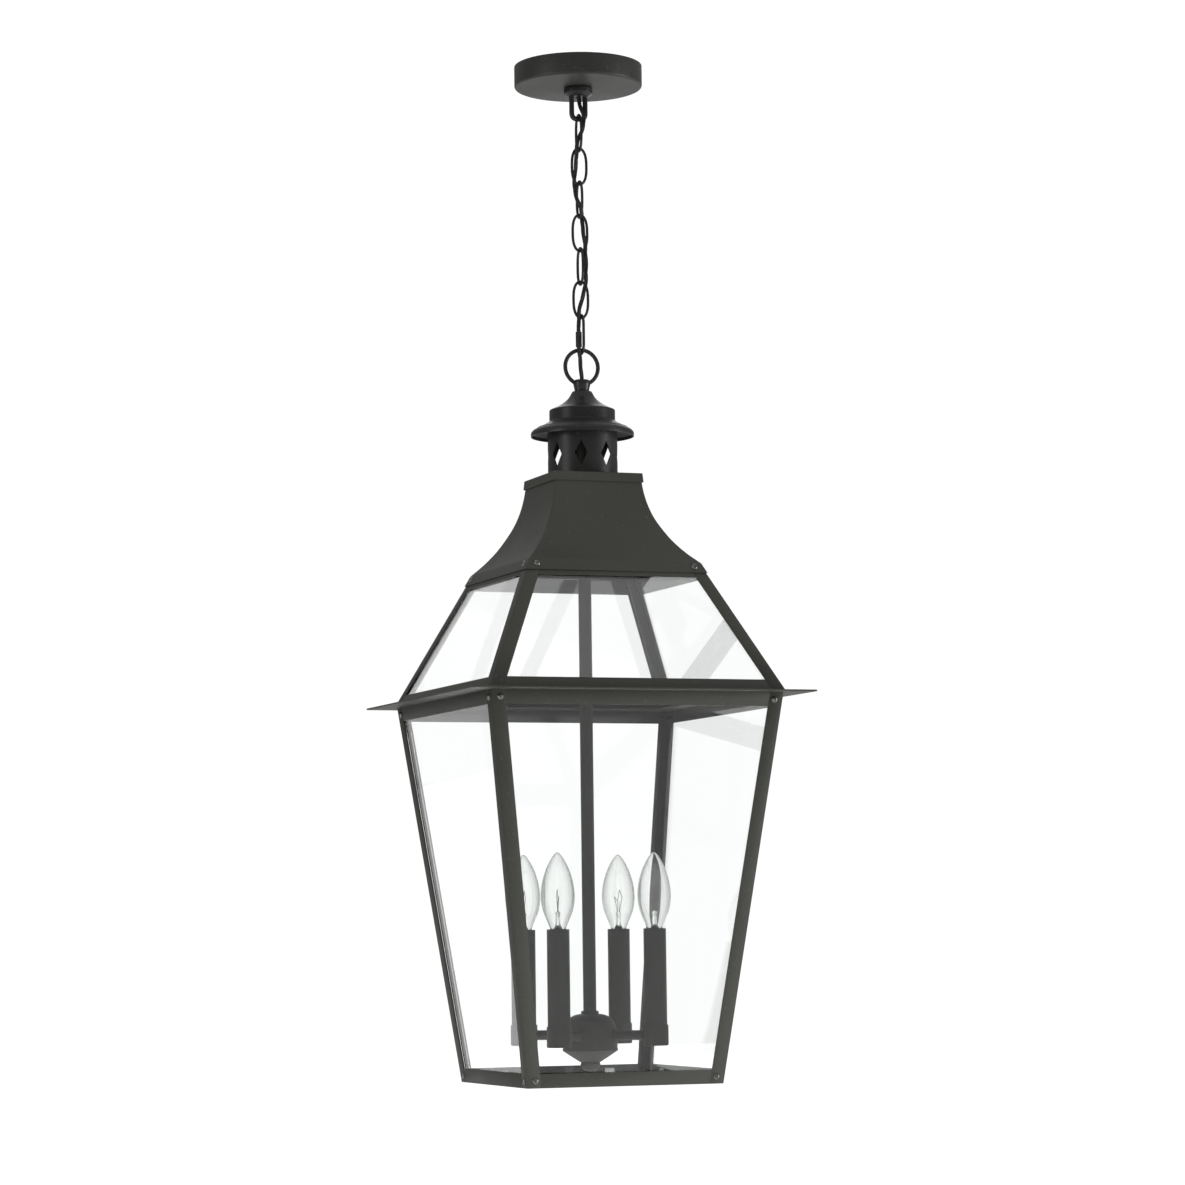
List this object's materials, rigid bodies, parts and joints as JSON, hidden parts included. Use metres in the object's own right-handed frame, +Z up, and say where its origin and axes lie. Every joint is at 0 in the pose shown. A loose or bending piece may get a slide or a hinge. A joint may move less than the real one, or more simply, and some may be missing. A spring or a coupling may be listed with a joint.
{
  "type": "hanging lantern",
  "caption": "Open-bottom glazed hanging lantern: canopy, chain, vented chimney, concave hood, glazed roof, square eave plate, tapered glass body and a candle cluster on a centre rod.",
  "frame": {"origin": "centre of the canopy in the ceiling plane; everything hangs below z = 0", "axes": "+Z up along the chain and the rod, -Y out of the front face, +X to the right seen from the front"},
  "size_m": [0.345, 0.345, 1.003],
  "materials": {
    "charcoal_paint": "matte",
    "chimney_paint": "satin",
    "canopy_paint": "satin",
    "black_enamel": "gloss",
    "candle_paint": "matte",
    "zinc_steel": "satin",
    "screw_steel": "satin",
    "earth_green": "satin",
    "lead_cover": "matte",
    "clear_pane": "clear",
    "bulb_glass": "clear",
    "bulb_stem": "clear",
    "bulb_base": "satin",
    "socket_body": "matte"
  },
  "bodies": {
    "ceiling_fixing": {"canopy": "canopy_paint", "crossbar": "zinc_steel", "ground_screw": "earth_green", "canopy_nipple": "zinc_steel", "nipple_locknut": "zinc_steel", "canopy_loop": "black_enamel", "supply_cord": "lead_cover"},
    "collar": {"canopy_collar": "black_enamel"},
    "link_1": {"chain_link_1": "black_enamel"},
    "link_2": {"chain_link_2": "black_enamel"},
    "link_3": {"chain_link_3": "black_enamel"},
    "link_4": {"chain_link_4": "black_enamel"},
    "link_5": {"chain_link_5": "black_enamel"},
    "link_6": {"chain_link_6": "black_enamel"},
    "quick_link": {"quick_link": "black_enamel"},
    "sleeve_nut": {"quick_link_sleeve": "black_enamel"},
    "lantern": {"hood_cap": "charcoal_paint", "hood": "charcoal_paint", "roof_posts": "charcoal_paint", "roof_rails": "charcoal_paint", "eave_plate": "charcoal_paint", "body_posts": "charcoal_paint", "body_rails": "charcoal_paint", "corner_brackets": "charcoal_paint", "chimney_cap": "chimney_paint", "vent_cylinder": "chimney_paint", "hanging_ring": "black_enamel", "ring_knob": "black_enamel", "rod_nut": "zinc_steel", "frame_screws": "screw_steel", "glass_clips": "zinc_steel", "roof_pane_front": "clear_pane", "roof_pane_right": "clear_pane", "roof_pane_back": "clear_pane", "roof_pane_left": "clear_pane", "body_pane_front": "clear_pane", "body_pane_right": "clear_pane", "body_pane_back": "clear_pane", "body_pane_left": "clear_pane", "centre_rod": "candle_paint", "rod_collar": "candle_paint", "cluster_dome": "candle_paint", "cluster_bowl": "candle_paint", "cluster_finial": "candle_paint", "candle_arms": "candle_paint", "candle_cups": "candle_paint", "candle_sleeves": "candle_paint", "lamp_sockets": "socket_body"},
    "bulb_1": {"bulb_glass_1": "bulb_glass", "bulb_base_1": "bulb_base", "bulb_stem_1": "bulb_stem"},
    "bulb_2": {"bulb_glass_2": "bulb_glass", "bulb_base_2": "bulb_base", "bulb_stem_2": "bulb_stem"},
    "bulb_3": {"bulb_glass_3": "bulb_glass", "bulb_base_3": "bulb_base", "bulb_stem_3": "bulb_stem"},
    "bulb_4": {"bulb_glass_4": "bulb_glass", "bulb_base_4": "bulb_base", "bulb_stem_4": "bulb_stem"}
  },
  "joints": [
    {"name": "collar_turn", "type": "hinge", "parent": "ceiling_fixing", "child": "collar", "pos_m": [0, 0, -0.0258], "axis": [0, 0, 1], "continuous": true},
    {"name": "loop_swing", "type": "hinge", "parent": "ceiling_fixing", "child": "link_1", "pos_m": [0, 0, -0.053], "axis": [1, 0, 0], "range_deg": [-15, 15], "deforming": ["supply_cord"]},
    {"name": "link_1_swing", "type": "hinge", "parent": "link_1", "child": "link_2", "pos_m": [0, 0, -0.08535], "axis": [0, 1, 0], "range_deg": [-15, 15], "deforming": ["supply_cord"]},
    {"name": "link_2_swing", "type": "hinge", "parent": "link_2", "child": "link_3", "pos_m": [0, 0, -0.11885], "axis": [1, 0, 0], "range_deg": [-15, 15], "deforming": ["supply_cord"]},
    {"name": "link_3_swing", "type": "hinge", "parent": "link_3", "child": "link_4", "pos_m": [0, 0, -0.15235], "axis": [0, 1, 0], "range_deg": [-15, 15], "deforming": ["supply_cord"]},
    {"name": "link_4_swing", "type": "hinge", "parent": "link_4", "child": "link_5", "pos_m": [0, 0, -0.18585], "axis": [1, 0, 0], "range_deg": [-15, 15], "deforming": ["supply_cord"]},
    {"name": "link_5_swing", "type": "hinge", "parent": "link_5", "child": "link_6", "pos_m": [0, 0, -0.21935], "axis": [0, 1, 0], "range_deg": [-15, 15], "deforming": ["supply_cord"]},
    {"name": "link_6_swing", "type": "hinge", "parent": "link_6", "child": "quick_link", "pos_m": [0, 0, -0.25285], "axis": [1, 0, 0], "range_deg": [-15, 15], "deforming": ["supply_cord"]},
    {"name": "ring_swing", "type": "hinge", "parent": "quick_link", "child": "lantern", "pos_m": [0, 0, -0.2886], "axis": [0, 1, 0], "range_deg": [-15, 15], "deforming": ["supply_cord"]},
    {"name": "sleeve_slide", "type": "slide", "parent": "quick_link", "child": "sleeve_nut", "axis": [0, 0, 1], "range_m": [0, 0.007]},
    {"name": "bulb_1_lift", "type": "slide", "parent": "lantern", "child": "bulb_1", "axis": [0, 0, 1], "range_m": [0, 0.028]},
    {"name": "bulb_2_lift", "type": "slide", "parent": "lantern", "child": "bulb_2", "axis": [0, 0, 1], "range_m": [0, 0.028]},
    {"name": "bulb_3_lift", "type": "slide", "parent": "lantern", "child": "bulb_3", "axis": [0, 0, 1], "range_m": [0, 0.028]},
    {"name": "bulb_4_lift", "type": "slide", "parent": "lantern", "child": "bulb_4", "axis": [0, 0, 1], "range_m": [0, 0.028]}
  ]
}
